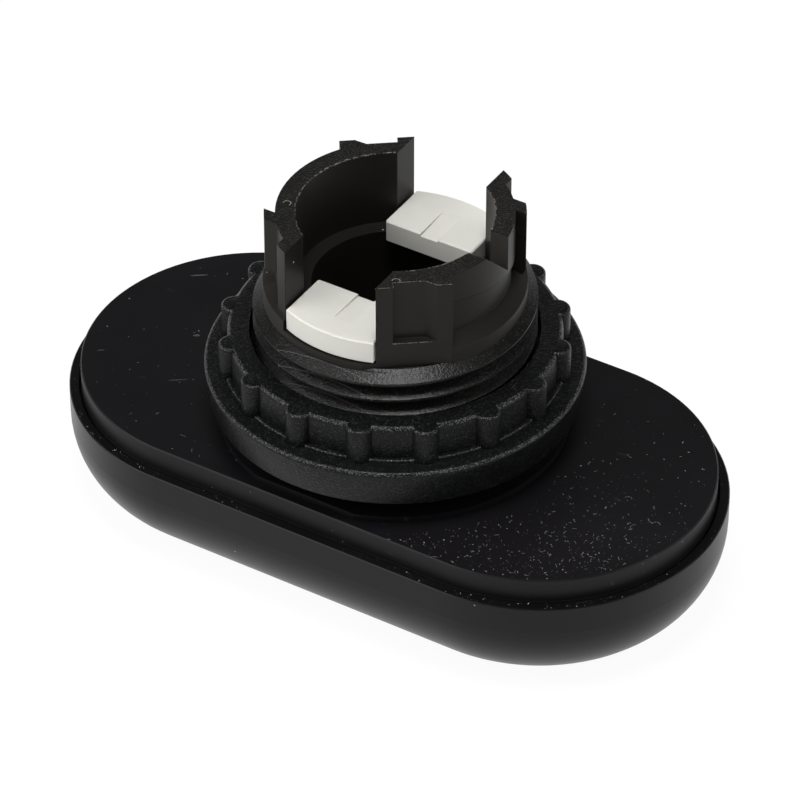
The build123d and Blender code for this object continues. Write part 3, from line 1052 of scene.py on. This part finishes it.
class HEAD_OT_flash(bpy.types.Operator):
    """Roughens the edges of the prongs' tops with mould flash, painted pale as a highlight"""

    bl_idname = "push_head.flash"
    bl_label = "Mould flash"

    # Burrs are given by their radii in millimetres, and arcs by their ends in degrees
    seed = 5
    step = 0.11 * MM
    edge_share = 0.35
    block_share = 0.75
    pocket_floor = 13.95 * MM
    block_start = -2.4 * MM
    edge_burrs = (0.015, 0.055)
    block_burrs = (0.02, 0.04)
    burr_stretch = (1.5, 4.0)
    arcs = ((121, 235), (-59, -14), (13, 55))
    block_path = (
        (block_start, block_face), (pocket_near_edge, block_face), (pocket_near_edge, pocket_back),
        (pocket_far_edge, pocket_back), (pocket_far_edge + pocket_splay, block_face),
        (block_end, block_face),
    )

    def execute(self, context):
        draw = random.Random(self.seed)
        shape = bmesh.new()
        for first, last in self.arcs:
            count = round(math.radians(last - first) * prong_inner_radius / self.step)
            for index in range(count):
                angle = math.radians(first + (last - first) * index / count)
                place = Matrix.Rotation(angle, 3, "Z") @ Vector((prong_inner_radius, 0, prong_top))
                if draw.random() < self.edge_share:
                    self.add_burr(shape, draw, place, angle, self.edge_burrs)
        for turn in (0, math.pi):
            for first, last in zip(self.block_path, self.block_path[1:]):
                self.line_edge(shape, draw, turn, first, last, prong_top)
            foot_path = ((pocket_near_edge, block_face), (pocket_far_edge + pocket_splay, block_face))
            self.line_edge(shape, draw, turn, *foot_path, self.pocket_floor)
        # The burrs are the collar's plastic painted pale, as a painted highlight
        material = lint("flash_highlight_plastic", shaded(colours().collar, FLASH_HIGHLIGHT_PALENESS))
        finish_piece("prong_flash", shape, material, "housing")
        return {"FINISHED"}

    def line_edge(self, shape, draw, turn, first, last, height):
        """Small grains from one corner of a block to the next."""
        start = block_place(turn, *first) + UP * height
        along = block_place(turn, *last) + UP * height - start
        heading = math.atan2(-along.x, along.y)
        count = round(along.length / self.step)
        for index in range(count):
            if draw.random() < self.block_share:
                place = start + along * index / count
                self.add_burr(shape, draw, place, heading, self.block_burrs)

    def add_burr(self, shape, draw, place, heading, radii):
        """A grain that lies along an edge, just under the face above it. Its radii are in millimetres."""
        radius = draw.uniform(*radii) * MM
        made = bmesh.ops.create_icosphere(shape, subdivisions=1, radius=radius)["verts"]
        stretch = draw.uniform(*self.burr_stretch)
        bmesh.ops.scale(shape, vec=(1.0, stretch, 1.0), verts=made)
        bmesh.ops.rotate(shape, cent=(0, 0, 0), matrix=Matrix.Rotation(heading, 3, "Z"), verts=made)
        bmesh.ops.translate(shape, vec=place - UP * radius, verts=made)


class HEAD_OT_dust(bpy.types.Operator):
    """Scatters dust on the gasket and the bezel's rim, with lint curls and rubbed smears"""

    bl_idname = "push_head.dust"
    bl_label = "Dust"

    # Curls, lengths, places and smears are in millimetres, and sweeps in radians.
    # A smear has a place, a length and a width. Along the head, dust is thickest from thick_from on
    seed = 11
    margin = 0.2 * MM
    thick_from = 15.0 * MM
    stray_share = 0.03
    rim_evenness = 0.6
    fleck_radius = 0.01 * MM
    fleck_growth = 2.2
    fleck_lumps = (0.7, 1.3)
    fleck_stretch = (1.0, 2.6)
    fleck_flatness = 0.6
    fibre_sides = 5
    fibre_steps = 7
    fibre_curls = (0.12, 0.6)
    fibre_lengths = (0.14, 0.42)
    lint_curls = (0.3, 0.5)
    lint_sweeps = (1.6, 2.8)
    smear_turn = math.radians(35)
    smear_thickness = 0.01 * MM
    smear_shade = 0.11
    lint_places = ((23.6, -1.3, 0), (24.6, -1.5, 0), (23.0, -2.4, 0), (21.2, 0.2, 0))
    smears = (
        (-22.7, 6.6, 1.5, 0.18), (-16.6, -5.8, 1.6, 0.1),
        (-18.5, -0.2, 0.6, 0.28), (-23.9, -5.8, 0.6, 0.1),
    )

    def execute(self, context):
        draw = random.Random(self.seed)
        pale = lint("lint", colours().dust)
        flecks = bmesh.new()
        for index in range(sizes().fleck_count):
            self.add_fleck(flecks, draw, self.gasket_place(draw))
        for index in range(sizes().rim_fleck_count):
            self.add_fleck(flecks, draw, self.rim_place(draw))
        finish_piece("dust_flecks", flecks, pale, "housing")
        fibres = bmesh.new()
        for index in range(sizes().fibre_count):
            curl = draw.uniform(*self.fibre_curls) * MM
            sweep = draw.uniform(*self.fibre_lengths) * MM / curl
            self.add_fibre(fibres, draw, self.gasket_place(draw), curl, sweep)
        for place in self.lint_places:
            curl = draw.uniform(*self.lint_curls) * MM
            sweep = draw.uniform(*self.lint_sweeps)
            self.add_fibre(fibres, draw, Vector(place) * MM, curl, sweep)
        finish_piece("dust_fibres", fibres, pale, "housing")
        rubbed = bmesh.new()
        for x, y, length, width in self.smears:
            self.add_smear(rubbed, Vector((x, y, 0)) * MM, length * MM, width * MM)
        dim = lint("rubbed_dust", shaded(colours().dust, self.smear_shade))
        finish_piece("dust_smears", rubbed, dim, "housing")
        return {"FINISHED"}

    def place(self, draw, inner, outer, height, even):
        """A point between two outlines of the head, more often on the near side and towards the +X end."""
        while True:
            x = draw.uniform(cad_low.x, cad_high.x)
            y = draw.uniform(cad_low.y, cad_high.y)
            reach = math.hypot(max(abs(x) - end_centre, 0.0), y)
            clear_of_nut = math.hypot(x, y) > nut_radius + self.margin
            near_side = (0.5 - 0.5 * y / cad_high.y) ** 2
            far_end = min(max(x / self.thick_from, 0.0), 1.0)
            likely = self.stray_share + (1 - self.stray_share) * near_side * max(far_end, even)
            if inner < reach < outer and clear_of_nut and draw.random() < likely:
                return Vector((x, y, height))

    def gasket_place(self, draw):
        """A point on the gasket."""
        return self.place(draw, 0.0, gasket_radius - self.margin, gasket_height, even=0.0)

    def rim_place(self, draw):
        """A point on the bezel's rim."""
        outer = cad_high.y - self.margin
        return self.place(draw, gasket_radius + self.margin, outer, rim_height, self.rim_evenness)

    def add_fleck(self, shape, draw, place):
        """A flat irregular grain."""
        radius = self.fleck_radius * (1 + self.fleck_growth * draw.random() ** 3)
        made = bmesh.ops.create_icosphere(shape, subdivisions=1, radius=radius)["verts"]
        for vert in made:
            vert.co *= draw.uniform(*self.fleck_lumps)
        stretch = draw.uniform(*self.fleck_stretch)
        bmesh.ops.scale(shape, vec=(stretch, 1.0, self.fleck_flatness), verts=made)
        turn = Matrix.Rotation(draw.uniform(0, math.tau), 3, "Z")
        bmesh.ops.rotate(shape, cent=(0, 0, 0), matrix=turn, verts=made)
        bmesh.ops.translate(shape, vec=place + UP * radius * 0.5, verts=made)

    def add_fibre(self, shape, draw, place, curl, sweep):
        """A curled hair: a thin tube along an arc."""
        radius = sizes().fibre_thickness / 2
        before = set(shape.verts)
        ring = bmesh.ops.create_circle(
            shape, cap_ends=True, segments=self.fibre_sides, radius=radius,
        )["verts"]
        upright = Matrix.Rotation(math.radians(90), 3, "X")
        bmesh.ops.rotate(shape, cent=(0, 0, 0), matrix=upright, verts=ring)
        face = ring[0].link_faces[0]
        bmesh.ops.spin(
            shape, geom=[face, *face.edges, *face.verts], cent=(curl, 0, 0), axis=UP,
            angle=sweep, steps=self.fibre_steps,
        )
        made = [vert for vert in shape.verts if vert not in before]
        turn = Matrix.Rotation(draw.uniform(0, math.tau), 3, "Z")
        bmesh.ops.rotate(shape, cent=(0, 0, 0), matrix=turn, verts=made)
        bmesh.ops.translate(shape, vec=place + UP * radius, verts=made)

    def add_smear(self, shape, place, length, width):
        """A flat rubbed mark along the head."""
        made = bmesh.ops.create_icosphere(shape, subdivisions=2, radius=0.5)["verts"]
        bmesh.ops.scale(shape, vec=(length, width, self.smear_thickness), verts=made)
        turn = Matrix.Rotation(self.smear_turn, 3, "Z")
        bmesh.ops.rotate(shape, cent=(0, 0, 0), matrix=turn, verts=made)
        bmesh.ops.translate(shape, vec=place, verts=made)


class HEAD_OT_stage(bpy.types.Operator):
    """Sets up the floor, the backdrop, the lamps and the camera"""

    bl_idname = "push_head.stage"
    bl_label = "Stage"

    floor_size = 8.0
    floor_grey = (0.8, 0.8, 0.8, 1.0)
    white = (1.0, 1.0, 1.0, 1.0)
    floor_glow = 1.04
    backdrop_bottom = 0.05
    backdrop_top = 0.35

    def execute(self, context):
        context.scene.view_settings.view_transform = "Standard"
        self.add_floor(context)
        self.set_world(context)
        view = studio()
        self.add_lamp("key_lamp", view.key_power, azimuth=-45, elevation=40, distance=0.65, size=0.5)
        self.add_lamp("fill_lamp", view.fill_power, azimuth=105, elevation=30, distance=0.65, size=0.4)
        self.add_lamp("top_lamp", view.top_power, azimuth=30, elevation=80, distance=0.6, size=0.18)
        self.add_camera(context)
        return {"FINISHED"}

    def add_floor(self, context):
        """Pale floor, white to the camera, that still takes the head's shadow."""
        shape = bmesh.new()
        bmesh.ops.create_grid(shape, x_segments=1, y_segments=1, size=self.floor_size / 2)
        bmesh.ops.translate(shape, vec=UP * cad_low.z, verts=shape.verts)
        mesh = bpy.data.meshes.new("floor")
        shape.to_mesh(mesh)
        shape.free()
        floor = bpy.data.objects.new("floor", mesh)
        context.scene.collection.objects.link(floor)
        mesh.materials.append(self.floor_material())

    def floor_material(self):
        """White to the camera and in reflections, grey to the light that falls on it."""
        material = bpy.data.materials.new("floor_white")
        material.use_nodes = True
        tree = material.node_tree
        tree.nodes.clear()
        path = tree.nodes.new("ShaderNodeLightPath")
        seen = math_node(tree, "MAXIMUM", path.outputs["Is Camera Ray"], path.outputs["Is Glossy Ray"])
        seen = math_node(tree, "MAXIMUM", seen, path.outputs["Is Transmission Ray"])
        matt = add_node(tree, "ShaderNodeBsdfDiffuse", {"Color": self.floor_grey})
        glow = add_node(
            tree, "ShaderNodeEmission", {"Color": self.white, "Strength": self.floor_glow},
        )
        shade = studio().floor_shade
        paper = add_node(tree, "ShaderNodeMixShader", {0: shade, 1: glow.outputs[0], 2: matt.outputs[0]})
        mixed = add_node(tree, "ShaderNodeMixShader", {0: seen, 1: matt.outputs[0], 2: paper.outputs[0]})
        add_node(tree, "ShaderNodeOutputMaterial", {"Surface": mixed.outputs[0]})
        return material

    def set_world(self, context):
        """Backdrop that is white at the horizon and darkens to the ceiling."""
        world = bpy.data.worlds.new("studio")
        context.scene.world = world
        world.use_nodes = True
        tree = world.node_tree
        tree.nodes.clear()
        place = tree.nodes.new("ShaderNodeTexCoord").outputs["Generated"]
        height = add_node(tree, "ShaderNodeSeparateXYZ", {"Vector": place}).outputs["Z"]
        fall = add_node(
            tree, "ShaderNodeMapRange",
            {
                "Value": height, "From Min": self.backdrop_bottom, "From Max": self.backdrop_top,
                "To Min": 1.0, "To Max": studio().ceiling,
            },
        )
        light = add_node(
            tree, "ShaderNodeBackground", {"Color": self.white, "Strength": fall.outputs[0]},
        )
        add_node(tree, "ShaderNodeOutputWorld", {"Surface": light.outputs[0]})

    def add_lamp(self, name, power, azimuth, elevation, distance, size):
        """Square soft lamp that faces the head."""
        data = bpy.data.lights.new(name, "AREA")
        data.shape = "SQUARE"
        data.size = size
        data.energy = power
        lamp = bpy.data.objects.new(name, data)
        bpy.context.scene.collection.objects.link(lamp)
        away = direction(math.radians(azimuth), math.radians(elevation))
        lamp.location = away * distance
        lamp.rotation_euler = away.to_track_quat("Z", "Y").to_euler()

    def add_camera(self, context):
        """Camera at the photograph's angle."""
        view = studio()
        data = bpy.data.cameras.new("camera")
        data.sensor_width = 36.0
        data.lens = view.lens
        data.shift_x = view.shift_x
        data.shift_y = view.shift_y
        data.clip_start = 0.01
        camera = bpy.data.objects.new("camera", data)
        context.scene.collection.objects.link(camera)
        away = direction(view.azimuth, view.elevation)
        camera.location = away * view.distance
        camera.rotation_euler = away.to_track_quat("Z", "Y").to_euler()
        context.scene.camera = camera


class HEAD_PT_panel(bpy.types.Panel):
    """Sizes, colours and steps of the push-button head"""

    bl_idname = "HEAD_PT_panel"
    bl_label = "Double push-button head"
    bl_space_type = "VIEW_3D"
    bl_region_type = "UI"
    bl_category = "Push head"

    def draw(self, context):
        for operator in OPERATORS:
            self.layout.operator(operator.bl_idname)
        for group in (sizes(), colours(), studio()):
            box = self.layout.box()
            for name in group.bl_rna.properties.keys():
                if name not in ("rna_type", "name"):
                    box.prop(group, name)


GROUPS = {"head_sizes": HeadSizes, "head_colours": HeadColours, "head_studio": HeadStudio}
OPERATORS = (
    HEAD_OT_bezel,
    HEAD_OT_gasket,
    HEAD_OT_collar,
    HEAD_OT_thread,
    HEAD_OT_nut,
    HEAD_OT_plungers,
    HEAD_OT_buttons,
    HEAD_OT_springs,
    HEAD_OT_lens,
    HEAD_OT_flash,
    HEAD_OT_dust,
    HEAD_OT_stage,
)


def register():
    for group in GROUPS.values():
        bpy.utils.register_class(group)
    for operator in OPERATORS:
        bpy.utils.register_class(operator)
    bpy.utils.register_class(HEAD_PT_panel)
    for name, group in GROUPS.items():
        setattr(bpy.types.Scene, name, PointerProperty(type=group))


def unregister():
    for name in GROUPS:
        delattr(bpy.types.Scene, name)
    bpy.utils.unregister_class(HEAD_PT_panel)
    for operator in reversed(OPERATORS):
        bpy.utils.unregister_class(operator)
    for group in GROUPS.values():
        bpy.utils.unregister_class(group)


def main():
    register()
    bpy.ops.push_head.bezel()
    bpy.ops.push_head.gasket()
    bpy.ops.push_head.collar()
    bpy.ops.push_head.thread()
    bpy.ops.push_head.nut()
    bpy.ops.push_head.plungers()
    bpy.ops.push_head.buttons()
    bpy.ops.push_head.springs()
    bpy.ops.push_head.lens()
    bpy.ops.push_head.flash()
    bpy.ops.push_head.dust()
    bpy.ops.push_head.stage()


if __name__ == "__main__":
    main()
